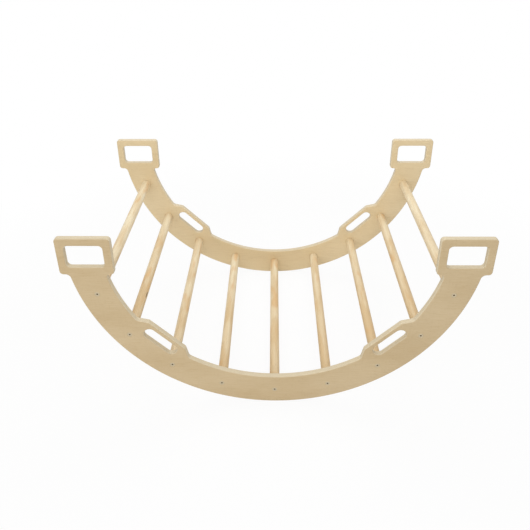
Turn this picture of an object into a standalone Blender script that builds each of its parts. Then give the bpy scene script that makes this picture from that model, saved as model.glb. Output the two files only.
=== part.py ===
"""Climbing arch for small children: two C-shaped plywood side panels joined by nine round rungs.

Metres, +Z up. X runs along the arch, Y from the front panel to the rear one. The arch stands on its curved
edge, as a rocker, and the origin is on the floor below its middle. Each rung end sits in a shallow socket in a
panel, and a countersunk bolt goes through the panel into a threaded insert in the rung.
"""
import math

import bmesh
import bpy
from mathutils import Vector

# Whole arch
LENGTH = 1.000
WIDTH = 0.600
HEIGHT = 0.5005

# Side panels, and the band that their arc is cut to
PANEL_THICKNESS = 0.015
OUTER_RADIUS = 0.485
BAND_WIDTH = 0.085
ROUND_OVER = 0.003
CORNER_RADIUS = 0.009

# Squared block at each tip of a panel, with its hand hole
BLOCK_LENGTH = 0.128
BLOCK_HEIGHT = 0.098
OUTER_SHOULDER_FILLET = 0.012
INNER_SHOULDER_FILLET = 0.007
HAND_HOLE_LENGTH = 0.0885
HAND_HOLE_HEIGHT = 0.0575
HAND_HOLE_CORNER = 0.010
HAND_HOLE_FROM_END = 0.0195
HAND_HOLE_FROM_TOP = 0.020

# Flat-topped handle on the inner edge, with its slot
HANDLE_ANGLE = 44.9
HANDLE_REACH = 0.0248
HANDLE_TOP_LENGTH = 0.118
HANDLE_FOOT_LENGTH = 0.1685
HANDLE_FILLET = 0.012
HANDLE_BAR = 0.0115
SLOT_LENGTH = 0.0985
SLOT_WIDTH = 0.0292

# Rungs, which stand on one circle at the middle of the band
RUNG_COUNT = 9
RUNG_STEP_ANGLE = 17.95
RUNG_DIAMETER = 0.026
RUNG_CHAMFER = 0.001
SOCKET_DEPTH = 0.005

# Bolts and the threaded inserts that they screw into
BOLT_DIAMETER = 0.006
BOLT_LENGTH = 0.035
BOLT_HEAD_DIAMETER = 0.012
BOLT_HEAD_RIM = 0.0003
BOLT_HEAD_SINK = 0.0002
BOLT_TIP_CHAMFER = 0.0006
HEX_KEY_SIZE = 0.004
HEX_SOCKET_DEPTH = 0.0023
INSERT_DIAMETER = 0.010
INSERT_LENGTH = 0.015
INSERT_SINK = 0.0003
PILOT_SPARE = 0.0015

# Clearance between pieces that seat in one another, and what a cutter runs past a face
GAP = 0.0003
OVERRUN = 0.002

# Fineness of the round shapes, in degrees or in steps round a turned piece
ARC_STEP = 3.6
CORNER_STEP = 30
RUNG_STEPS = 20
BOLT_STEPS = 12
ROUND_OVER_RESOLUTION = 1
SHARP_ANGLE = math.radians(35)
# Vertices this close are one
WELD = 1e-5

INNER_RADIUS = OUTER_RADIUS - BAND_WIDTH
RUNG_CIRCLE = OUTER_RADIUS - BAND_WIDTH / 2
# The facet at the bottom of the outer arc lies flat on the floor
ARC_CENTRE = Vector((0, OUTER_RADIUS * math.cos(math.radians(ARC_STEP / 2))))
RUNG_LENGTH = WIDTH - 2 * PANEL_THICKNESS + 2 * SOCKET_DEPTH - 2 * GAP
# Depth of a rung's end below the panel's outer face
RUNG_END_DEPTH = PANEL_THICKNESS - SOCKET_DEPTH + GAP


def heading(vector):
    """Direction of a flat vector, in degrees anticlockwise from the first axis."""
    return math.degrees(math.atan2(vector[1], vector[0]))


def direction(angle):
    return Vector((math.cos(math.radians(angle)), math.sin(math.radians(angle))))


def arc(centre, radius, start, end, step=CORNER_STEP):
    """Points on an arc between two headings, both ends included."""
    count = max(1, math.ceil(abs(end - start) / step))
    return [centre + radius * direction(start + (end - start) * i / count) for i in range(count + 1)]


def half_handle():
    """One half of a handle's edge, from the band to the handle's middle, and the heading where it leaves the band.

    The first axis points from the arc's centre out through the handle, and the second along the band.
    """
    top = Vector((INNER_RADIUS - HANDLE_REACH, HANDLE_TOP_LENGTH / 2))
    half_foot = HANDLE_FOOT_LENGTH / 2
    foot = Vector((math.sqrt(INNER_RADIUS ** 2 - half_foot ** 2), half_foot))
    flank = (foot - top).normalized()
    clear = Vector((-flank.y, flank.x))
    base = top + clear * HANDLE_FILLET
    reach = INNER_RADIUS - HANDLE_FILLET
    along = -base.dot(flank) + math.sqrt(base.dot(flank) ** 2 - base.length_squared + reach ** 2)
    fillet = base + flank * along
    corner = top + Vector((CORNER_RADIUS, -CORNER_RADIUS * (1 + clear.x) / clear.y))
    points = arc(fillet, HANDLE_FILLET, heading(fillet), heading(-clear))
    points += arc(corner, CORNER_RADIUS, heading(clear), 180)
    return points, heading(fillet)


def half_outline():
    """The panel's edge at +X, from the bottom of the outer arc round the block to the bottom of the inner arc."""
    low = HEIGHT - BLOCK_HEIGHT
    inner = LENGTH / 2 - BLOCK_LENGTH
    round_in = CORNER_RADIUS

    height = low - OUTER_SHOULDER_FILLET
    reach = OUTER_RADIUS + OUTER_SHOULDER_FILLET
    outer_fillet = Vector((math.sqrt(reach ** 2 - (height - ARC_CENTRE.y) ** 2), height))
    leave = heading(outer_fillet - ARC_CENTRE)
    points = arc(ARC_CENTRE, OUTER_RADIUS, -90 + ARC_STEP / 2, leave, ARC_STEP)
    points += arc(outer_fillet, OUTER_SHOULDER_FILLET, leave + 180, 90)[1:]

    points += arc(Vector((LENGTH / 2 - round_in, low + round_in)), round_in, -90, 0)
    points += arc(Vector((LENGTH / 2 - round_in, HEIGHT - round_in)), round_in, 0, 90)
    points += arc(Vector((inner + round_in, HEIGHT - round_in)), round_in, 90, 180)
    points += arc(Vector((inner + round_in, low + round_in)), round_in, 180, 270)

    height = low - INNER_SHOULDER_FILLET
    reach = INNER_RADIUS - INNER_SHOULDER_FILLET
    inner_fillet = Vector((math.sqrt(reach ** 2 - (height - ARC_CENTRE.y) ** 2), height))
    meet = heading(inner_fillet - ARC_CENTRE)
    points += arc(inner_fillet, INNER_SHOULDER_FILLET, 90, meet)

    half, spread = half_handle()
    middle = -90 + HANDLE_ANGLE
    outward, upward = direction(middle), direction(middle + 90)
    handle = half + [Vector((p.x, -p.y)) for p in reversed(half)]
    points += arc(ARC_CENTRE, INNER_RADIUS, meet, middle + spread, ARC_STEP)[1:-1]
    points += [ARC_CENTRE + outward * p.x + upward * p.y for p in handle]
    points += arc(ARC_CENTRE, INNER_RADIUS, middle - spread, -90 + ARC_STEP / 2, ARC_STEP)[1:]
    return points


def hand_hole():
    """Rounded rectangle in the block at +X."""
    high = HEIGHT - HAND_HOLE_FROM_TOP - HAND_HOLE_CORNER
    low = high - HAND_HOLE_HEIGHT + 2 * HAND_HOLE_CORNER
    far = LENGTH / 2 - HAND_HOLE_FROM_END - HAND_HOLE_CORNER
    near = far - HAND_HOLE_LENGTH + 2 * HAND_HOLE_CORNER
    corners = ((far, low, -90), (far, high, 0), (near, high, 90), (near, low, 180))
    return [p for x, z, turn in corners for p in arc(Vector((x, z)), HAND_HOLE_CORNER, turn, turn + 90)]


def handle_slot():
    """Slot with round ends in the handle at +X."""
    middle = -90 + HANDLE_ANGLE
    outward, upward = direction(middle), direction(middle + 90)
    radius = SLOT_WIDTH / 2
    centre = ARC_CENTRE + outward * (INNER_RADIUS - HANDLE_REACH + HANDLE_BAR + radius)
    half_run = upward * (SLOT_LENGTH / 2 - radius)
    points = arc(centre + half_run, radius, middle, middle + 180)
    return points + arc(centre - half_run, radius, middle + 180, middle + 360)


def mirrored(points):
    """The same points at -X, in the order that keeps the outline running one way."""
    return [Vector((-p.x, p.y)) for p in reversed(points)]


def even_caps(shape):
    """Turns the triangles of the two flat faces across Z so that none is a sliver."""
    top = max(vert.co.z for vert in shape.verts) - WELD
    for side in (-1, 1):
        flat = {face for face in shape.faces if all(vert.co.z * side > top for vert in face.verts)}
        inside = [edge for edge in shape.edges if flat.issuperset(edge.link_faces)]
        bmesh.ops.beautify_fill(shape, faces=list(flat), edges=inside)


def evaluated_mesh(thing, name, flat=False):
    """The mesh of an object as the viewport shows it, welded, with the object removed."""
    bpy.context.view_layer.update()
    graph = bpy.context.evaluated_depsgraph_get()
    mesh = bpy.data.meshes.new_from_object(thing.evaluated_get(graph))
    bpy.data.objects.remove(thing)
    shape = bmesh.new()
    shape.from_mesh(mesh)
    bmesh.ops.remove_doubles(shape, verts=shape.verts, dist=WELD)
    if flat:
        even_caps(shape)
    shape.to_mesh(mesh)
    shape.free()
    mesh.name = name
    mesh.shade_smooth()
    mesh.set_sharp_from_angle(angle=SHARP_ANGLE)
    return mesh


def place(name, mesh, collection, material=None, location=(0, 0, 0), turn=0.0):
    """An object turned about X by an angle in degrees."""
    thing = bpy.data.objects.new(name, mesh)
    thing.location = location
    thing.rotation_euler.x = math.radians(turn)
    if material and not mesh.materials:
        mesh.materials.append(material)
    collection.objects.link(thing)
    return thing


def make_cutter(thing):
    thing.hide_render = True
    thing.display_type = "WIRE"
    return thing


def cut(thing, cutter):
    modifier = thing.modifiers.new(cutter.name, "BOOLEAN")
    modifier.operation = "DIFFERENCE"
    modifier.object = cutter


def turned_mesh(name, profile, steps, closed=False):
    """Mesh of a profile of (radius, height) points, top to bottom down its outer side, turned about Z."""
    outline = bmesh.new()
    verts = [outline.verts.new((radius, 0, height)) for radius, height in profile]
    pairs = zip(verts, verts[1:] + verts[:1] if closed else verts[1:])
    for first, second in pairs:
        outline.edges.new((first, second))
    mesh = bpy.data.meshes.new(name)
    outline.to_mesh(mesh)
    outline.free()
    thing = bpy.data.objects.new(name, mesh)
    bpy.context.scene.collection.objects.link(thing)
    screw = thing.modifiers.new("turn", "SCREW")
    screw.steps = screw.render_steps = steps
    screw.use_merge_vertices = True
    screw.merge_threshold = WELD
    return evaluated_mesh(thing, name)


def principled(name, colour, roughness, metallic=0.0):
    material = bpy.data.materials.new(name)
    material.use_nodes = True
    shader = material.node_tree.nodes["Principled BSDF"]
    shader.inputs["Base Color"].default_value = (*colour, 1)
    shader.inputs["Roughness"].default_value = roughness
    shader.inputs["Metallic"].default_value = metallic
    material.diffuse_color = (*colour, 1)
    return material


def panel_mesh():
    """Panel before its bolt ways are cut, flat about its own middle plane, with every rim rounded over."""
    curve = bpy.data.curves.new("panel", "CURVE")
    curve.dimensions = "2D"
    curve.fill_mode = "BOTH"
    curve.extrude = PANEL_THICKNESS / 2 - ROUND_OVER
    curve.bevel_depth = ROUND_OVER
    curve.bevel_resolution = ROUND_OVER_RESOLUTION
    curve.offset = -ROUND_OVER
    half = half_outline()
    holes = [hand_hole(), handle_slot()]
    for points in [half + mirrored(half)] + holes + [mirrored(hole) for hole in holes]:
        spline = curve.splines.new("POLY")
        spline.points.add(len(points) - 1)
        for knot, point in zip(spline.points, points):
            knot.co = (point.x, point.y, 0, 1)
        spline.use_cyclic_u = True
    thing = bpy.data.objects.new("panel", curve)
    bpy.context.scene.collection.objects.link(thing)
    return evaluated_mesh(thing, "panel", flat=True)


def bolt_way_mesh():
    """Countersink, bolt hole and rung socket, from above the panel's outer face to past its inner one."""
    head = BOLT_HEAD_DIAMETER / 2 + GAP
    hole = BOLT_DIAMETER / 2 + GAP
    socket = RUNG_DIAMETER / 2 + GAP
    rim = -BOLT_HEAD_SINK - BOLT_HEAD_RIM
    floor = SOCKET_DEPTH - PANEL_THICKNESS
    past = -PANEL_THICKNESS - OVERRUN
    profile = [(0, OVERRUN), (head, OVERRUN), (head, rim), (hole, rim - head + hole), (hole, floor),
               (socket, floor), (socket, past), (0, past)]
    return turned_mesh("bolt_way", profile, RUNG_STEPS)


def rung_mesh():
    end = RUNG_LENGTH / 2
    radius = RUNG_DIAMETER / 2
    pilot = BOLT_DIAMETER / 2 + GAP
    bore = INSERT_DIAMETER / 2 + GAP
    bore_floor = end - INSERT_SINK - INSERT_LENGTH - GAP
    pilot_floor = min(bore_floor, end + RUNG_END_DEPTH - BOLT_LENGTH) - PILOT_SPARE
    upper = [(0, pilot_floor), (pilot, pilot_floor), (pilot, bore_floor), (bore, bore_floor), (bore, end),
             (radius - RUNG_CHAMFER, end), (radius, end - RUNG_CHAMFER)]
    return turned_mesh("rung", upper + [(r, -z) for r, z in reversed(upper)], RUNG_STEPS)


def bolt_mesh(cutters):
    """Bolt with its head at the top, its origin in the plane of the panel's outer face."""
    top = -BOLT_HEAD_SINK
    head = BOLT_HEAD_DIAMETER / 2
    shank = BOLT_DIAMETER / 2
    under_rim = top - BOLT_HEAD_RIM
    profile = [(0, top), (head, top), (head, under_rim), (shank, under_rim - head + shank),
               (shank, BOLT_TIP_CHAMFER - BOLT_LENGTH), (shank - BOLT_TIP_CHAMFER, -BOLT_LENGTH), (0, -BOLT_LENGTH)]
    blank = bpy.data.objects.new("bolt_blank", turned_mesh("bolt_blank", profile, BOLT_STEPS))
    bpy.context.scene.collection.objects.link(blank)
    hexagon = bmesh.new()
    radius = HEX_KEY_SIZE / math.sqrt(3)
    depth = HEX_SOCKET_DEPTH + OVERRUN
    bmesh.ops.create_cone(hexagon, cap_ends=True, segments=6, radius1=radius, radius2=radius, depth=depth)
    key = bpy.data.meshes.new("hex_key")
    hexagon.to_mesh(key)
    hexagon.free()
    key_cutter = make_cutter(place("hex_key", key, cutters, location=(0, 0, top - HEX_SOCKET_DEPTH + depth / 2)))
    cut(blank, key_cutter)
    mesh = evaluated_mesh(blank, "bolt")
    bpy.data.objects.remove(key_cutter)
    return mesh


def insert_mesh():
    """Threaded insert as a plain sleeve, its origin at its outer end."""
    outer = INSERT_DIAMETER / 2
    inner = BOLT_DIAMETER / 2 + GAP
    profile = [(inner, 0), (outer, 0), (outer, -INSERT_LENGTH), (inner, -INSERT_LENGTH)]
    return turned_mesh("insert", profile, BOLT_STEPS, closed=True)


def rung_places():
    """Point of each rung's axis in the plane of the panels, from -X to +X."""
    middle = (RUNG_COUNT - 1) / 2
    return [ARC_CENTRE + RUNG_CIRCLE * direction(-90 + (i - middle) * RUNG_STEP_ANGLE) for i in range(RUNG_COUNT)]


def build():
    for thing in list(bpy.data.objects):
        bpy.data.objects.remove(thing)
    parts = bpy.data.collections.new("climbing_arch")
    cutters = bpy.data.collections.new("cutters")
    bpy.context.scene.collection.children.link(parts)
    bpy.context.scene.collection.children.link(cutters)

    plywood = principled("birch_plywood", (0.58, 0.43, 0.26), 0.5)
    rung_wood = principled("rung_wood", (0.72, 0.55, 0.34), 0.45)
    steel = principled("bolt_steel", (0.56, 0.56, 0.56), 0.35, 1.0)
    zinc = principled("insert_zinc", (0.62, 0.6, 0.52), 0.4, 1.0)

    panel = panel_mesh()
    rung = rung_mesh()
    bolt = bolt_mesh(cutters)
    insert = insert_mesh()
    way = bolt_way_mesh()
    for number, point in enumerate(rung_places(), 1):
        place(f"rung_{number}", rung, parts, rung_wood, (point.x, 0, point.y), 90)

    # A quarter turn about X points a turned piece's top at the front, and the other way at the rear
    for side, outward, turn in (("front", -1, 90), ("rear", 1, -90)):
        middle = outward * (WIDTH - PANEL_THICKNESS) / 2
        side_panel = place(f"side_panel_{side}", panel, parts, plywood, (0, middle, 0), 90)
        face = outward * WIDTH / 2
        insert_end = face - outward * (RUNG_END_DEPTH + INSERT_SINK)
        for number, point in enumerate(rung_places(), 1):
            at_face = (point.x, face, point.y)
            cut(side_panel, make_cutter(place(f"bolt_way_{side}_{number}", way, cutters, None, at_face, turn)))
            place(f"bolt_{side}_{number}", bolt, parts, steel, at_face, turn)
            place(f"insert_{side}_{number}", insert, parts, zinc, (point.x, insert_end, point.y), turn)


build()
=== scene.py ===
"""Visual model of the climbing arch: two birch plywood sides, nine turned rungs and the bolts that hold them.

Metres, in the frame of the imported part. X runs along the arch, Y from the front side to the rear one and Z
up. The arch stands at height zero, and rocks on the curved edges of its sides.
"""
import math

import bmesh
import bpy
from mathutils import Matrix, Vector


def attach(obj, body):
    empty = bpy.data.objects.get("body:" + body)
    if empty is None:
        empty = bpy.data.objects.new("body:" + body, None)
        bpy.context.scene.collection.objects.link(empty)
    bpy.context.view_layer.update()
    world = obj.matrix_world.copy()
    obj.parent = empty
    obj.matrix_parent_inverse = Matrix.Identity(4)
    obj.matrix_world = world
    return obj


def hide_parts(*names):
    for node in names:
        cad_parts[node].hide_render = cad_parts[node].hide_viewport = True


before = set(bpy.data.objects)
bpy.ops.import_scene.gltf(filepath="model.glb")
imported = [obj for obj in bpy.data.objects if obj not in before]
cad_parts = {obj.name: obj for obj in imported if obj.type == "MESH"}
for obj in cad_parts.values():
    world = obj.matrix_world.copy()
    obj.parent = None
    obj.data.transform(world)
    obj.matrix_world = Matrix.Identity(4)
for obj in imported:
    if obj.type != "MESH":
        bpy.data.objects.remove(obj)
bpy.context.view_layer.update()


# Side panels. Each is routed in one piece from birch plywood of eleven plies: a C-shaped band with a squared
# block at both tips, a hand hole in each block and two flat-topped handles with slots. Its rims are rounded
# over, sanded and varnished. A socket, a hole and a countersink are drilled for each rung.

LENGTH = 1.000
WIDTH = 0.600
HEIGHT = 0.5005
PANEL_THICKNESS = 0.015
OUTER_RADIUS = 0.48476
BAND_WIDTH = 0.08476
INNER_RADIUS = OUTER_RADIUS - BAND_WIDTH
ARC_CENTRE = Vector((0, OUTER_RADIUS))
ROUND_OVER = 0.003
CORNER_RADIUS = 0.009

BLOCK_LENGTH = 0.128
BLOCK_HEIGHT = 0.098
OUTER_SHOULDER_FILLET = 0.012
INNER_SHOULDER_FILLET = 0.007
HAND_HOLE_LENGTH = 0.0885
HAND_HOLE_HEIGHT = 0.0575
HAND_HOLE_CORNER = 0.010
HAND_HOLE_FROM_END = 0.0195
HAND_HOLE_FROM_TOP = 0.020

HANDLE_ANGLE = 44.9
HANDLE_REACH = 0.0248
HANDLE_TOP_LENGTH = 0.118
HANDLE_FOOT_LENGTH = 0.1685
HANDLE_FILLET = 0.012
HANDLE_BAR = 0.0115
SLOT_LENGTH = 0.0985
SLOT_WIDTH = 0.0292

RUNG_COUNT = 9
RUNG_STEP_ANGLE = 17.95
RUNG_CIRCLE = 0.4425
RUNG_DIAMETER = 0.026
SOCKET_DEPTH = 0.005
SEAT_GAP = 0.0003
HEAD_DIAMETER = 0.012
HEAD_RIM = 0.0003
HEAD_SINK = 0.0002
BOLT_DIAMETER = 0.006

# Steps of the arcs in degrees. A cutter runs past the face it cuts by SPARE, and LEDGE is how far apart two
# stations of a turned piece lie where it steps in or out. A face that looks along Y by FLAT or more is shaded
# flat.
ARC_STEP = 1.2
CORNER_STEP = 9
ROUND_OVER_STEPS = 5
TURNED_STEPS = 48
SPARE = 0.002
LEDGE = 1e-5
WELD = 1e-6
SHARP = math.radians(32)
FLAT = 0.9999

PLIES = 11
PLY_MARGIN = 0.01
SCREEN_FOOT = 0.055
SCREEN_POWER = 2.4
FACE_PALE = (209, 188, 151)
FACE_TAN = (183, 157, 113)
EDGE_PALE = (222, 210, 182)
END_GRAIN = (199, 178, 141)
GLUE_LINE = (160, 131, 94)

# Each side's name, where it stands along Y, and how much its faces and its edges differ from these colours.
ALIKE = (0, 0, 0)
# Painted light: the rear panel is a paler copy of the same plywood, standing in for the stronger light on it.
REAR_FACE_PAINTED_LIGHT = (26, 27, 25)
REAR_EDGE_PAINTED_LIGHT = (2, 2, 3)
SIDES = (("front", -1, ALIKE, ALIKE), ("rear", 1, REAR_FACE_PAINTED_LIGHT, REAR_EDGE_PAINTED_LIGHT))

# Marks to the metre along X, Y and Z, then how strongly each mark shows.
FIGURE_MARKS = (1.7, 30, 9)
CLOUD_MARKS = (3, 30, 7)
CLOUD_SHIFT = (4.1, 0, 2.3)
FIBRE_MARKS = (22, 60, 620)
PORE_MARKS = (120, 60, 1500)
SAW_MARKS = (260, 900, 260)
FACE_TONE = 0.42
FACE_RINGS = 17
RING_SHARPNESS = 9
RING_SHARE = 0.12
FIBRE_SHARE = 0.8
PORE_LEVEL = 0.69
PORE_SHARE = 0.3
END_GRAIN_SHARE = 0.75
SAW_SHARE = 0.5
GLUE_RISE = (0.43, 0.49)
GLUE_SHARE = 0.55
RIM_FALL = (0.55, 0.93)
PLYWOOD_ROUGHNESS = 0.46
FIBRE_ROUGHNESS = 0.16
RIM_ROUGHNESS = 0.08
WOOD_RELIEF = 0.00012
FIBRE_RELIEF = 0.6
PORE_RELIEF = 0.6
SAW_RELIEF = 0.5


def heading(vector):
    """Direction of a flat vector in degrees, anticlockwise from the first axis."""
    return math.degrees(math.atan2(vector[1], vector[0]))


def direction(angle):
    return Vector((math.cos(math.radians(angle)), math.sin(math.radians(angle))))


def arc(centre, radius, start, end, step=CORNER_STEP):
    """Points on an arc between two headings, both ends included."""
    count = max(1, math.ceil(abs(end - start) / step))
    return [centre + radius * direction(start + (end - start) * i / count) for i in range(count + 1)]


def half_handle():
    """Half of a handle's edge, from the band to the handle's middle, and the heading at which it starts.

    The first axis points from the arc's centre out through the handle, and the second along the band.
    """
    top = Vector((INNER_RADIUS - HANDLE_REACH, HANDLE_TOP_LENGTH / 2))
    half_foot = HANDLE_FOOT_LENGTH / 2
    foot = Vector((math.sqrt(INNER_RADIUS ** 2 - half_foot ** 2), half_foot))
    flank = (foot - top).normalized()
    clear = Vector((-flank.y, flank.x))
    base = top + clear * HANDLE_FILLET
    reach = INNER_RADIUS - HANDLE_FILLET
    along = -base.dot(flank) + math.sqrt(base.dot(flank) ** 2 - base.length_squared + reach ** 2)
    fillet = base + flank * along
    corner = top + Vector((CORNER_RADIUS, -CORNER_RADIUS * (1 + clear.x) / clear.y))
    points = arc(fillet, HANDLE_FILLET, heading(fillet), heading(-clear))
    return points + arc(corner, CORNER_RADIUS, heading(clear), 180), heading(fillet)


def half_outline():
    """A panel's edge at +X, from the foot of the outer arc round the block to the foot of the inner arc."""
    low = HEIGHT - BLOCK_HEIGHT
    inner = LENGTH / 2 - BLOCK_LENGTH + CORNER_RADIUS
    outer = LENGTH / 2 - CORNER_RADIUS
    top = HEIGHT - CORNER_RADIUS

    height = low - OUTER_SHOULDER_FILLET
    reach = OUTER_RADIUS + OUTER_SHOULDER_FILLET
    shoulder = Vector((math.sqrt(reach ** 2 - (height - ARC_CENTRE.y) ** 2), height))
    leave = heading(shoulder - ARC_CENTRE)
    points = arc(ARC_CENTRE, OUTER_RADIUS, -90, leave, ARC_STEP)
    points += arc(shoulder, OUTER_SHOULDER_FILLET, leave + 180, 90)[1:]

    points += arc(Vector((outer, low + CORNER_RADIUS)), CORNER_RADIUS, -90, 0)
    points += arc(Vector((outer, top)), CORNER_RADIUS, 0, 90)
    points += arc(Vector((inner, top)), CORNER_RADIUS, 90, 180)
    points += arc(Vector((inner, low + CORNER_RADIUS)), CORNER_RADIUS, 180, 270)

    height = low - INNER_SHOULDER_FILLET
    reach = INNER_RADIUS - INNER_SHOULDER_FILLET
    shoulder = Vector((math.sqrt(reach ** 2 - (height - ARC_CENTRE.y) ** 2), height))
    meet = heading(shoulder - ARC_CENTRE)
    points += arc(shoulder, INNER_SHOULDER_FILLET, 90, meet)

    half, spread = half_handle()
    middle = -90 + HANDLE_ANGLE
    outward, upward = direction(middle), direction(middle + 90)
    points += arc(ARC_CENTRE, INNER_RADIUS, meet, middle + spread, ARC_STEP)[1:-1]
    handle = half + [Vector((p.x, -p.y)) for p in reversed(half)]
    points += [ARC_CENTRE + outward * p.x + upward * p.y for p in handle]
    return points + arc(ARC_CENTRE, INNER_RADIUS, middle - spread, -90, ARC_STEP)[1:]


def hand_hole():
    high = HEIGHT - HAND_HOLE_FROM_TOP - HAND_HOLE_CORNER
    low = high - HAND_HOLE_HEIGHT + 2 * HAND_HOLE_CORNER
    far = LENGTH / 2 - HAND_HOLE_FROM_END - HAND_HOLE_CORNER
    near = far - HAND_HOLE_LENGTH + 2 * HAND_HOLE_CORNER
    corners = ((far, low, -90), (far, high, 0), (near, high, 90), (near, low, 180))
    return [p for x, z, turn in corners for p in arc(Vector((x, z)), HAND_HOLE_CORNER, turn, turn + 90)]


def handle_slot():
    middle = -90 + HANDLE_ANGLE
    outward, upward = direction(middle), direction(middle + 90)
    radius = SLOT_WIDTH / 2
    centre = ARC_CENTRE + outward * (INNER_RADIUS - HANDLE_REACH + HANDLE_BAR + radius)
    half_run = upward * (SLOT_LENGTH / 2 - radius)
    points = arc(centre + half_run, radius, middle, middle + 180)
    return points + arc(centre - half_run, radius, middle + 180, middle + 360)


def mirrored(points):
    """The same points at -X, in the order that keeps the edge one loop, without the two on the middle."""
    return [Vector((-p.x, p.y)) for p in reversed(points) if abs(p.x) > WELD]


class Wire:
    """A socket of a node. A sum on it adds a Math node to its board."""

    def __init__(self, board, socket):
        self.board, self.socket = board, socket

    def sum(self, operation, *terms):
        return self.board.node("ShaderNodeMath", {"operation": operation}, terms)

    def __add__(self, other):
        return self.sum("ADD", self, other)

    def __radd__(self, other):
        return self.sum("ADD", other, self)

    def __sub__(self, other):
        return self.sum("SUBTRACT", self, other)

    def __rsub__(self, other):
        return self.sum("SUBTRACT", other, self)

    def __mul__(self, other):
        return self.sum("MULTIPLY", self, other)

    def __rmul__(self, other):
        return self.sum("MULTIPLY", other, self)

    def __truediv__(self, other):
        return self.sum("DIVIDE", self, other)

    def __pow__(self, other):
        return self.sum("POWER", self, other)

    def __mod__(self, other):
        return self.sum("FLOORED_MODULO", self, other)

    def __abs__(self):
        return self.sum("ABSOLUTE", self)

    def __gt__(self, other):
        return self.sum("GREATER_THAN", self, other)


class Board:
    """A node tree that is filled one call at a time."""

    def __init__(self, tree):
        self.tree = tree

    def node(self, kind, settings=None, values=(), out=0):
        """Adds a node: its settings first, then what its sockets hold or take in, by name or in order."""
        node = self.tree.nodes.new(kind)
        for name, setting in (settings or {}).items():
            if name == "items":
                while len(node.index_switch_items) < setting:
                    node.index_switch_items.new()
            else:
                setattr(node, name, setting)
        sockets = [socket for socket in node.inputs if socket.enabled]
        for key, value in values.items() if isinstance(values, dict) else enumerate(values):
            socket = sockets[key] if isinstance(key, int) else next(s for s in sockets if s.name == key)
            if isinstance(value, Wire):
                self.tree.links.new(value.socket, socket)
            else:
                socket.default_value = value
        outs = [socket for socket in node.outputs if socket.enabled]
        return Wire(self, outs[out] if isinstance(out, int) else next(s for s in outs if s.name == out))


class Pattern(Board):
    """A Geometry Nodes tree with named sizes, which is run once and kept as a plain mesh."""

    def __init__(self, name):
        super().__init__(bpy.data.node_groups.new(name, "GeometryNodeTree"))
        self.tree.interface.new_socket("Geometry", in_out="OUTPUT", socket_type="NodeSocketGeometry")
        self.inlet = self.tree.nodes.new("NodeGroupInput")
        self.values = {}

    def size(self, name, value):
        """A named input of the tree, made when first asked for, and a whole number where its value is one."""
        if name not in self.inlet.outputs:
            kind = "NodeSocketInt" if isinstance(value, int) else "NodeSocketFloat"
            socket = self.tree.interface.new_socket(name, in_out="INPUT", socket_type=kind)
            self.values[socket.identifier] = value
        return Wire(self, self.inlet.outputs[name])

    def choice(self, values):
        """The value at each point's own number."""
        index = self.node("GeometryNodeInputIndex")
        settings = {"data_type": "FLOAT", "items": len(values)}
        return self.node("GeometryNodeIndexSwitch", settings, [index, *values])

    def turned(self, stations, steps):
        """A piece turned about Z, from its stations of (height, radius), top first."""
        heights, radii = zip(*stations)
        values = {"Curve": self.node("GeometryNodeCurvePrimitiveLine"), "Count": len(stations)}
        line = self.node("GeometryNodeResampleCurve", {"mode": "COUNT"}, values)
        place = self.node("ShaderNodeCombineXYZ", None, {"Z": self.choice(heights)})
        line = self.node("GeometryNodeSetPosition", None, {"Geometry": line, "Position": place})
        ring = self.node("GeometryNodeCurvePrimitiveCircle", None, {"Resolution": steps, "Radius": 1.0})
        values = {"Curve": line, "Profile Curve": ring, "Scale": self.choice(radii), "Fill Caps": True}
        return self.node("GeometryNodeCurveToMesh", None, values)

    def cut(self, piece, cutter):
        return self.node("GeometryNodeMeshBoolean", {"operation": "DIFFERENCE"}, [piece, cutter])

    def at_rungs(self, piece, side, turn):
        """The piece at each rung's middle, moved along Y and turned about X by an angle in degrees."""
        count = self.size("rung_count", RUNG_COUNT)
        step = self.size("rung_step_angle", math.radians(RUNG_STEP_ANGLE))
        sweep = (count - 1) * step
        values = {"Resolution": count, "Radius": self.size("rung_circle", RUNG_CIRCLE),
                  "Start Angle": -math.pi / 2 - sweep / 2, "Sweep Angle": sweep}
        points = self.node("GeometryNodeCurveArc", {"mode": "RADIUS"}, values)
        stand = {"Geometry": points, "Translation": (0, side, ARC_CENTRE.y), "Rotation": (math.pi / 2, 0, 0)}
        points = self.node("GeometryNodeTransform", None, stand)
        values = {"Points": points, "Instance": piece, "Rotation": (math.radians(turn), 0, 0)}
        return self.node("GeometryNodeInstanceOnPoints", None, values)

    def marked(self, kind, domain, piece, name, value):
        """The piece with a named attribute on it."""
        settings = {"data_type": kind, "domain": domain}
        values = {"Geometry": piece, "Name": name, "Value": value}
        return self.node("GeometryNodeStoreNamedAttribute", settings, values)

    def joined(self, pieces):
        together = self.node("GeometryNodeJoinGeometry")
        for piece in pieces:
            self.tree.links.new(piece.socket, together.socket.node.inputs[0])
        return together

    def made(self, name, geometry, material=None):
        """The piece that the tree makes, as an object of its own with a plain mesh."""
        whole = self.node("GeometryNodeRealizeInstances", None, {"Geometry": geometry})
        values = {"Geometry": whole, "Material": material}
        whole = self.node("GeometryNodeSetMaterial", None, values)
        outlet = self.tree.nodes.new("NodeGroupOutput")
        self.tree.links.new(whole.socket, outlet.inputs[0])
        thing = bpy.data.objects.new(name, bpy.data.meshes.new(name))
        bpy.context.scene.collection.objects.link(thing)
        modifier = thing.modifiers.new(name, "NODES")
        modifier.node_group = self.tree
        for identifier, value in self.values.items():
            modifier[identifier] = value
        return plain(thing)


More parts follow.
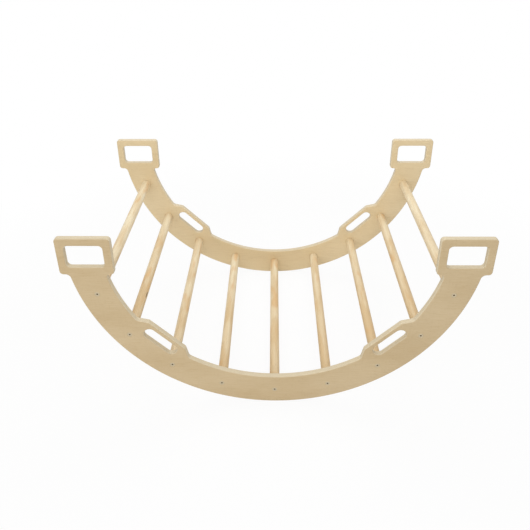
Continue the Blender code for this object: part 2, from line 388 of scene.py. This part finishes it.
def plain(thing):
    """Turns an object's evaluated shape into its own mesh, closed and facing out, with smooth curves."""
    graph = bpy.context.evaluated_depsgraph_get()
    shown = thing.evaluated_get(graph)
    mesh = bpy.data.meshes.new_from_object(shown, preserve_all_data_layers=True, depsgraph=graph)
    name = thing.name
    bpy.data.objects.remove(thing)
    shape = bmesh.new()
    shape.from_mesh(mesh)
    bmesh.ops.remove_doubles(shape, verts=shape.verts, dist=WELD)
    bmesh.ops.recalc_face_normals(shape, faces=shape.faces)
    shape.to_mesh(mesh)
    shape.free()
    mesh.shade_smooth()
    mesh.set_sharp_from_angle(angle=SHARP)
    thing = bpy.data.objects.new(name, mesh)
    bpy.context.scene.collection.objects.link(thing)
    return thing


class Finish(Board):
    """A material of nodes that ends in one Principled shader."""

    def __init__(self, name):
        self.material = bpy.data.materials.new(name)
        self.material.use_nodes = True
        super().__init__(self.material.node_tree)
        self.shader = self.tree.nodes["Principled BSDF"]

    def place(self):
        return self.node("ShaderNodeTexCoord", out="Object")

    def parts(self, vector):
        return [self.node("ShaderNodeSeparateXYZ", None, [vector], axis) for axis in "XYZ"]

    def vector(self, operation, *terms):
        return self.node("ShaderNodeVectorMath", {"operation": operation}, terms)

    def grain(self, place, marks, detail=2.0, shift=(0, 0, 0)):
        """Noise from 0 to 1 with so many marks to the metre along each axis."""
        place = self.node("ShaderNodeMapping", None, {"Vector": place, "Location": shift, "Scale": marks})
        return self.node("ShaderNodeTexNoise", None, {"Vector": place, "Scale": 1.0, "Detail": detail})

    def rings(self, value, sharpness):
        """Ridges that stand at a value's whole numbers, the narrower the sharper."""
        return abs(2 * (value % 1.0) - 1) ** sharpness

    def between(self, value, low, high):
        """A value's rise from 0 to 1 between two limits."""
        values = [value, low, high, 0.0, 1.0]
        return self.node("ShaderNodeMapRange", {"interpolation_type": "SMOOTHSTEP"}, values)

    def mixed(self, share, first, second):
        return self.node("ShaderNodeMix", {"data_type": "RGBA"}, [share, first, second])

    def wear(self, colour, roughness, height, relief, metallic=0.0):
        """Wires the shader: colour, roughness and a bump from a height, whose full depth is the relief."""
        bump = self.node("ShaderNodeBump", None, {"Height": height, "Distance": relief}, "Normal")
        for name, value in (("Base Color", colour), ("Roughness", roughness), ("Normal", bump)):
            self.tree.links.new(value.socket, self.shader.inputs[name])
        self.shader.inputs["Metallic"].default_value = metallic
        return self.material


def seen(shade):
    """A colour as it is seen on a screen, from 0 to 255, in the form that a shader takes."""
    return (*(((part / 255 + SCREEN_FOOT) / (1 + SCREEN_FOOT)) ** SCREEN_POWER for part in shade), 1)


def lighter(shade, step):
    return seen([part + more for part, more in zip(shade, step)])


def plywood(name, face_painted_light, edge_painted_light):
    """Varnished birch plywood: veneers with their grain along X, and plies that show at the routed edges."""
    # Painted light: the two paler steps make the rear panel's copy lighter than the front's.
    pale, tan = (lighter(shade, face_painted_light) for shade in (FACE_PALE, FACE_TAN))
    edge_pale, end_grain = (lighter(shade, edge_painted_light) for shade in (EDGE_PALE, END_GRAIN))
    finish = Finish(name)
    place = finish.place()
    facing_x, facing_y, facing_z = finish.parts(finish.node("ShaderNodeTexCoord", out="Normal"))

    ring = finish.rings(finish.grain(place, FIGURE_MARKS, detail=3.0) * FACE_RINGS, RING_SHARPNESS)
    cloud = finish.grain(place, CLOUD_MARKS, shift=CLOUD_SHIFT)
    fibre = finish.grain(place, FIBRE_MARKS, detail=4.0)
    pore = finish.grain(place, PORE_MARKS, detail=0.0) > PORE_LEVEL
    tone = FACE_TONE + (cloud - 0.5) + ring * RING_SHARE + (fibre - 0.5) * FIBRE_SHARE + pore * PORE_SHARE
    face = finish.mixed(tone, pale, tan)

    depth = (WIDTH / 2 - abs(finish.parts(place)[1])) * (PLIES / PANEL_THICKNESS)
    depth = finish.node("ShaderNodeClamp", None, [depth, PLY_MARGIN, PLIES - PLY_MARGIN])
    ply = depth % 1.0
    crossed = (depth - ply) % 2.0 > 0.5
    across = crossed * facing_z ** 2 + (1 - crossed) * facing_x ** 2
    saw = finish.grain(place, SAW_MARKS)
    edge = finish.mixed(across * END_GRAIN_SHARE + (saw - 0.5) * SAW_SHARE, edge_pale, end_grain)
    glue = finish.between(abs(ply - 0.5), *GLUE_RISE)
    edge = finish.mixed(glue * GLUE_SHARE, edge, seen(GLUE_LINE))
    rim = 1 - finish.between(abs(facing_y), *RIM_FALL)

    colour = finish.mixed(rim, face, edge)
    roughness = PLYWOOD_ROUGHNESS + (fibre - 0.5) * FIBRE_ROUGHNESS + rim * RIM_ROUGHNESS
    height = fibre * FIBRE_RELIEF - pore * PORE_RELIEF + saw * rim * SAW_RELIEF
    return finish.wear(colour, roughness, height, WOOD_RELIEF)


bolt_ways = Pattern("bolt_ways")
head = bolt_ways.size("head_radius", HEAD_DIAMETER / 2 + SEAT_GAP)
hole = bolt_ways.size("hole_radius", BOLT_DIAMETER / 2 + SEAT_GAP)
socket = bolt_ways.size("socket_radius", RUNG_DIAMETER / 2 + SEAT_GAP)
floor_depth = bolt_ways.size("socket_floor", SOCKET_DEPTH - PANEL_THICKNESS)
way = bolt_ways.turned([
    (SPARE, head),
    (-HEAD_SINK - HEAD_RIM, head),
    (hole - head - HEAD_SINK - HEAD_RIM, hole),
    (floor_depth, hole),
    (floor_depth - LEDGE, socket),
    (-PANEL_THICKNESS - SPARE, socket)], TURNED_STEPS)
ways = [bolt_ways.at_rungs(way, -WIDTH / 2, 90), bolt_ways.at_rungs(way, WIDTH / 2, -90)]
drills = bolt_ways.made("bolt_ways", bolt_ways.joined(ways))

half = half_outline()
loops = [half + mirrored(half)]
for hole_edge in (hand_hole(), handle_slot()):
    loops += [hole_edge, mirrored(hole_edge)]

for side, outward, face_painted_light, edge_painted_light in SIDES:
    blank = bpy.data.curves.new(f"{side}_blank", "CURVE")
    blank.dimensions = "2D"
    blank.fill_mode = "BOTH"
    blank.extrude = PANEL_THICKNESS / 2 - ROUND_OVER
    blank.bevel_depth = ROUND_OVER
    blank.bevel_resolution = ROUND_OVER_STEPS
    blank.offset = -ROUND_OVER
    for points in loops:
        spline = blank.splines.new("POLY")
        spline.points.add(len(points) - 1)
        for knot, point in zip(spline.points, points):
            knot.co = (point.x, point.y, 0, 1)
        spline.use_cyclic_u = True
    panel = bpy.data.objects.new(f"plywood_{side}", blank)
    bpy.context.scene.collection.objects.link(panel)
    panel = plain(panel)
    stand = Matrix.Translation((0, outward * (WIDTH - PANEL_THICKNESS) / 2, 0))
    panel.data.transform(stand @ Matrix.Rotation(math.pi / 2, 4, "X"))
    drilled = panel.modifiers.new("drilled", "BOOLEAN")
    drilled.object = drills
    panel = plain(panel)
    for polygon in panel.data.polygons:
        polygon.use_smooth = abs(polygon.normal.y) < FLAT
    panel.data.materials.clear()
    panel.data.materials.append(plywood(f"birch_plywood_{side}", face_painted_light, edge_painted_light))
    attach(panel, "root")
    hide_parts(f"side_panel_{side}")
bpy.data.objects.remove(drills)


# Rungs. Nine turned dowels of a pale hardwood, sanded and varnished, with a broken edge at each end. They
# stand in the panels' sockets and are bored at both ends for a threaded insert and the tip of its bolt.

RUNG_LENGTH = WIDTH - 2 * PANEL_THICKNESS + 2 * SOCKET_DEPTH - 2 * SEAT_GAP
RUNG_CHAMFER = 0.001
INSERT_DIAMETER = 0.010
INSERT_REACH = 0.0153
BORE_LENGTH = 0.0262

RUNG_WARMTH = (0.08, 0.46, 0.24, 0.26, 0.36, 0.52, 0.54, 0.5, 0.22)
RUNG_PALE = (238, 224, 192)
RUNG_WARM = (216, 188, 143)
RUNG_BLUSH = (218, 177, 122)
RUNG_PORE = (194, 165, 120)
KNOT_BROWN = (110, 84, 58)
KNOT_RUNG = 1
KNOT_PLACE = (0.0122, 0.0045, 0.147)
KNOT_SIZE = (0.0022, 0.0022, 0.017)
KNOT_FALL = (0.5, 1.0)

# Marks to the metre along each rung's own axes, of which the third is its length, and how strongly they show.
RUNG_SHIFT = (0.37, 0.53, 1.71)
PATCH_MARKS = (50, 50, 9)
PATCH_RISE = (0.38, 0.68)
PATCH_SHARE = 0.55
STREAK_MARKS = (190, 190, 4)
STREAK_SHARE = 0.9
BEND_MARKS = (14, 14, 2.2)
RUNG_BEND = 0.012
RUNG_RINGS = 260
RUNG_RING_SLANT = 0.35
RUNG_RING_SHARPNESS = 3
RUNG_RING_SHARE = 0.12
RUNG_FIBRE_MARKS = (900, 900, 30)
RUNG_FIBRE_SHARE = 0.3
RUNG_PORE_MARKS = (1300, 1300, 130)
RUNG_PORE_LEVEL = 0.70
RUNG_PORE_SHARE = 0.35
BLUSH_MARKS = (42, 42, 12)
BLUSH_SHIFT = (3, 1, 7)
BLUSH_RISE = (0.54, 0.74)
BLUSH_SHARE = 0.7
# Painted shade: rungs grow darker and warmer towards the front end, where the front panel shades them.
FRONT_END_PAINTED_SHADE = 0.75
RUNG_ROUGHNESS = 0.54
RUNG_FIBRE_ROUGHNESS = 0.18
RUNG_PORE_RELIEF = 0.5
RUNG_RING_RELIEF = 0.1


def dowel_wood(name):
    """Varnished dowel: its grain follows its length, with its own tone, streaks, warm patches and painted
    front-end shade.
    """
    finish = Finish(name)
    place = finish.node("ShaderNodeAttribute", {"attribute_name": "stock"}, (), "Vector")
    number = finish.node("ShaderNodeAttribute", {"attribute_name": "number"}, (), "Fac")
    warmth = finish.node("ShaderNodeAttribute", {"attribute_name": "warmth"}, (), "Fac")
    shift = finish.node("ShaderNodeCombineXYZ", None, [number * part for part in RUNG_SHIFT])
    billet = finish.vector("ADD", place, shift)

    patch = finish.between(finish.grain(billet, PATCH_MARKS), *PATCH_RISE)
    streak = finish.grain(billet, STREAK_MARKS, detail=3.0)
    bend = finish.grain(billet, BEND_MARKS, detail=1.0)
    x, y = finish.parts(billet)[:2]
    ring = (x + y * RUNG_RING_SLANT + bend * RUNG_BEND) * RUNG_RINGS
    ring = finish.rings(ring, RUNG_RING_SHARPNESS)
    fibre = finish.grain(billet, RUNG_FIBRE_MARKS, detail=3.0)
    pore = finish.grain(billet, RUNG_PORE_MARKS, detail=0.0) > RUNG_PORE_LEVEL
    front_end_painted_shade = finish.parts(place)[2] * (FRONT_END_PAINTED_SHADE / RUNG_LENGTH)
    tone = warmth + front_end_painted_shade + patch * PATCH_SHARE + (streak - 0.5) * STREAK_SHARE
    tone = tone + ring * RUNG_RING_SHARE + (fibre - 0.5) * RUNG_FIBRE_SHARE
    colour = finish.mixed(tone, seen(RUNG_PALE), seen(RUNG_WARM))
    blush = finish.grain(billet, BLUSH_MARKS, detail=1.0, shift=BLUSH_SHIFT)
    blush = finish.between(blush, *BLUSH_RISE)
    colour = finish.mixed(blush * BLUSH_SHARE, colour, seen(RUNG_BLUSH))
    colour = finish.mixed(pore * RUNG_PORE_SHARE, colour, seen(RUNG_PORE))

    reach = finish.vector("DIVIDE", finish.vector("SUBTRACT", place, KNOT_PLACE), KNOT_SIZE)
    knot = 1 - finish.between(finish.vector("LENGTH", reach), *KNOT_FALL)
    knot = knot * (1 - (abs(number - KNOT_RUNG) > 0.5))
    colour = finish.mixed(knot, colour, seen(KNOT_BROWN))
    roughness = RUNG_ROUGHNESS + (fibre - 0.5) * RUNG_FIBRE_ROUGHNESS
    height = fibre * FIBRE_RELIEF - pore * RUNG_PORE_RELIEF + ring * RUNG_RING_RELIEF
    return finish.wear(colour, roughness, height, WOOD_RELIEF)


rungs = Pattern("rungs")
radius = rungs.size("rung_radius", RUNG_DIAMETER / 2)
end = rungs.size("half_length", RUNG_LENGTH / 2)
chamfer = rungs.size("chamfer", RUNG_CHAMFER)
insert_bore = rungs.size("insert_bore", INSERT_DIAMETER / 2 + SEAT_GAP)
tip_bore = rungs.size("tip_bore", BOLT_DIAMETER / 2 + SEAT_GAP)
dowel = rungs.turned([
    (end, radius - chamfer),
    (end - chamfer, radius),
    (chamfer - end, radius),
    (0 - end, radius - chamfer)], TURNED_STEPS)
bores = []
for sign in (1, -1):
    bores.append(rungs.turned([
        ((end + SPARE) * sign, insert_bore),
        ((end - INSERT_REACH - SEAT_GAP) * sign, insert_bore),
        ((end - INSERT_REACH - SEAT_GAP - LEDGE) * sign, tip_bore),
        ((end - BORE_LENGTH) * sign, tip_bore)], TURNED_STEPS))
dowel = rungs.cut(dowel, rungs.joined(bores))
dowel = rungs.marked("FLOAT_VECTOR", "POINT", dowel, "stock", rungs.node("GeometryNodeInputPosition"))
ladder = rungs.at_rungs(dowel, 0, 90)
ladder = rungs.marked("FLOAT", "INSTANCE", ladder, "number", rungs.node("GeometryNodeInputIndex"))
ladder = rungs.marked("FLOAT", "INSTANCE", ladder, "warmth", rungs.choice(RUNG_WARMTH))
ladder = rungs.made("turned_rungs", ladder, dowel_wood("varnished_dowel"))
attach(ladder, "root")
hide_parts(*(f"rung_{i}" for i in range(1, RUNG_COUNT + 1)))


# Bolts. Countersunk steel machine screws with a hexagon socket, one through the panel into each rung's end.
# Their heads lie a hair below the plywood, and each socket stops at its own angle and is darkened by painted
# shade.

BOLT_LENGTH = 0.035
HEAD_BREAK = 0.00012
TIP_CHAMFER = 0.0006
KEY_SIZE = 0.004
KEY_SIDES = 6
KEY_DEPTH = 0.0023
KEY_MOUTH = 3 * HEAD_BREAK
KEY_POINT_DEPTH = KEY_DEPTH * 1.4
KEY_POINT_SHARE = 0.1
KEY_ANGLE_SEED = 11

STEEL = (204, 190, 162)
STEEL_DULL = (194, 180, 151)
# Painted shade: the dark brown inside the hexagon sockets, rising over the depths just below.
SOCKET_PAINTED_SHADE = (54, 33, 10)
STEEL_MARKS = (1600, 1600, 1600)
DULL_RISE = (0.35, 0.7)
SOCKET_SHADE = (HEAD_SINK + 0.0003, HEAD_SINK + 0.0012)
SOCKET_SHADE_SHARE = 0.8
STEEL_ROUGHNESS = 0.34
STEEL_CLOUD_ROUGHNESS = 0.14
METAL_RELIEF = 0.00002


def bolt_steel(name):
    """Plain steel with faint dull marks, and painted shade that darkens it inside the hexagon sockets."""
    finish = Finish(name)
    place = finish.place()
    cloud = finish.grain(place, STEEL_MARKS, detail=3.0)
    colour = finish.mixed(finish.between(cloud, *DULL_RISE), seen(STEEL), seen(STEEL_DULL))
    socket_painted_shade = finish.between(WIDTH / 2 - abs(finish.parts(place)[1]), *SOCKET_SHADE)
    colour = finish.mixed(socket_painted_shade * SOCKET_SHADE_SHARE, colour, seen(SOCKET_PAINTED_SHADE))
    return finish.wear(colour, STEEL_ROUGHNESS + cloud * STEEL_CLOUD_ROUGHNESS, cloud, METAL_RELIEF, 1.0)


bolts = Pattern("bolts")
top = 0 - bolts.size("head_sink", HEAD_SINK)
head = bolts.size("head_radius", HEAD_DIAMETER / 2)
shank = bolts.size("shank_radius", BOLT_DIAMETER / 2)
length = bolts.size("bolt_length", BOLT_LENGTH)
key = bolts.size("key_size", KEY_SIZE) / math.sqrt(3)
rim = top - HEAD_RIM
screw = bolts.turned([
    (top, head - HEAD_BREAK),
    (top - HEAD_BREAK, head),
    (rim, head),
    (rim - head + shank, shank),
    (TIP_CHAMFER - length, shank),
    (0 - length, shank - TIP_CHAMFER)], TURNED_STEPS)
hexagon = bolts.turned([
    (top + SPARE, key + SPARE),
    (top - LEDGE, key + 2 * HEAD_BREAK),
    (top - KEY_MOUTH, key),
    (top - KEY_DEPTH, key),
    (top - KEY_POINT_DEPTH, key * KEY_POINT_SHARE)], KEY_SIDES)
screw = bolts.cut(screw, hexagon)
sides = []
for side, turn in ((-WIDTH / 2, 90), (WIDTH / 2, -90)):
    row = bolts.at_rungs(screw, side, turn)
    spin = {"Max": 2 * math.pi / KEY_SIDES, "Seed": KEY_ANGLE_SEED}
    spin = bolts.node("FunctionNodeRandomValue", {"data_type": "FLOAT"}, spin)
    spin = bolts.node("ShaderNodeCombineXYZ", None, {"Z": spin})
    sides.append(bolts.node("GeometryNodeRotateInstances", None, {"Instances": row, "Rotation": spin}))
screws = bolts.made("socket_screws", bolts.joined(sides), bolt_steel("plain_steel"))
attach(screws, "root")
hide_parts(*(f"bolt_{side}_{i}" for side in ("front", "rear") for i in range(1, RUNG_COUNT + 1)))


# Threaded inserts. Zinc-plated sleeves in the rungs' ends, which nothing shows once the arch is bolted up.
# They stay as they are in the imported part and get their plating.

ZINC = (205, 202, 188)
ZINC_YELLOW = (190, 182, 150)
ZINC_MARKS = (300, 300, 300)
ZINC_ROUGHNESS = 0.32
ZINC_CLOUD_ROUGHNESS = 0.16


def zinc_plating(name):
    finish = Finish(name)
    cloud = finish.grain(finish.place(), ZINC_MARKS, detail=3.0)
    colour = finish.mixed(cloud, seen(ZINC), seen(ZINC_YELLOW))
    return finish.wear(colour, ZINC_ROUGHNESS + cloud * ZINC_CLOUD_ROUGHNESS, cloud, METAL_RELIEF, 1.0)


plating = zinc_plating("zinc_plating")
for name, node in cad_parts.items():
    if name.startswith("insert_"):
        node.material_slots[0].material = plating


# Floor and background. A pale studio floor that the camera sees as almost white near the arch, where its soft
# shadow is kept, and as pure white farther out, like the world behind it.

FLOOR_SIZE = 60
FLOOR_DROP = 0.0002
FLOOR_COLOUR = (0.88, 0.88, 0.88, 1)
FLOOR_ROUGHNESS = 0.9
FLOOR_GLOW = 0.92
GLOW_RISE = (0.75, 1.4)
WORLD_LIGHT = 0.5
WHITE = (1, 1, 1, 1)


def direct_rays(board):
    """One for the rays that show what is behind the object: the camera's own, and those by gloss or glass."""
    kinds = ("Is Camera Ray", "Is Glossy Ray", "Is Transmission Ray")
    camera, gloss, glass = (board.node("ShaderNodeLightPath", out=kind) for kind in kinds)
    return board.node("ShaderNodeMath", {"operation": "MINIMUM"}, [camera + gloss + glass, 1.0])


studio = Finish("studio_floor")
studio.shader.inputs["Base Color"].default_value = FLOOR_COLOUR
studio.shader.inputs["Roughness"].default_value = FLOOR_ROUGHNESS
glow = studio.node("ShaderNodeEmission", None, {"Color": WHITE, "Strength": 1.0})
away = studio.between(studio.vector("LENGTH", studio.place()), *GLOW_RISE)
share = direct_rays(studio) * (FLOOR_GLOW + away * (1 - FLOOR_GLOW))
surface = studio.node("ShaderNodeMixShader", None, [share, Wire(studio, studio.shader.outputs[0]), glow])
studio.tree.links.new(surface.socket, studio.tree.nodes["Material Output"].inputs["Surface"])
ground = bpy.data.meshes.new("studio_floor")
plane = bmesh.new()
bmesh.ops.create_grid(plane, x_segments=1, y_segments=1, size=FLOOR_SIZE / 2)
plane.to_mesh(ground)
plane.free()
ground.materials.append(studio.material)
ground = bpy.data.objects.new("studio_floor", ground)
ground.location.z = -FLOOR_DROP
bpy.context.scene.collection.objects.link(ground)

world = bpy.data.worlds.new("studio")
world.use_nodes = True
bpy.context.scene.world = world
sky = Board(world.node_tree)
strength = WORLD_LIGHT + direct_rays(sky) * (1 - WORLD_LIGHT)
background = world.node_tree.nodes["Background"]
background.inputs["Color"].default_value = WHITE
world.node_tree.links.new(strength.socket, background.inputs["Strength"])


# Lamps. One wide soft box above the arch, and another farther off in front and to the left. Each is given as
# its name, place, size and power.

LAMPS = (("overhead", (0.05, 0.4, 1.7), 2.0, 16.5), ("front", (-0.8, -2.9, 1.4), 3.0, 44))
LAMP_AIM = Vector((0, 0, 0.2))

for name, place, size, power in LAMPS:
    lamp = bpy.data.lights.new(name, "AREA")
    lamp.size = size
    lamp.energy = power
    lamp = bpy.data.objects.new(name, lamp)
    lamp.location = place
    lamp.rotation_euler = (LAMP_AIM - Vector(place)).to_track_quat("-Z", "Y").to_euler()
    bpy.context.scene.collection.objects.link(lamp)


# Camera. It stands in front of the arch's middle and looks down at it. The photograph is a crop whose optical
# axis lies above the picture's middle, so the lens is shifted by AXIS_ABOVE pixels.

CAMERA_PLACE = (-0.00364, -1.37979, 1.17691)
YAW, PITCH, ROLL = -0.942, 27.104, -0.411
FOCAL_PIXELS = 568.5
IMAGE_WIDTH = 530
AXIS_ABOVE = 75
SENSOR_WIDTH = 36

lens = bpy.data.cameras.new("camera")
lens.sensor_width = SENSOR_WIDTH
lens.lens = FOCAL_PIXELS * SENSOR_WIDTH / IMAGE_WIDTH
lens.shift_y = -AXIS_ABOVE / IMAGE_WIDTH
camera = bpy.data.objects.new("camera", lens)
stand = Matrix.Translation(CAMERA_PLACE)
for angle, axis in ((-YAW, "Z"), (90 - PITCH, "X"), (ROLL, "Z")):
    stand = stand @ Matrix.Rotation(math.radians(angle), 4, axis)
camera.matrix_world = stand
bpy.context.scene.collection.objects.link(camera)
bpy.context.scene.camera = camera
bpy.context.scene.view_settings.view_transform = "Standard"
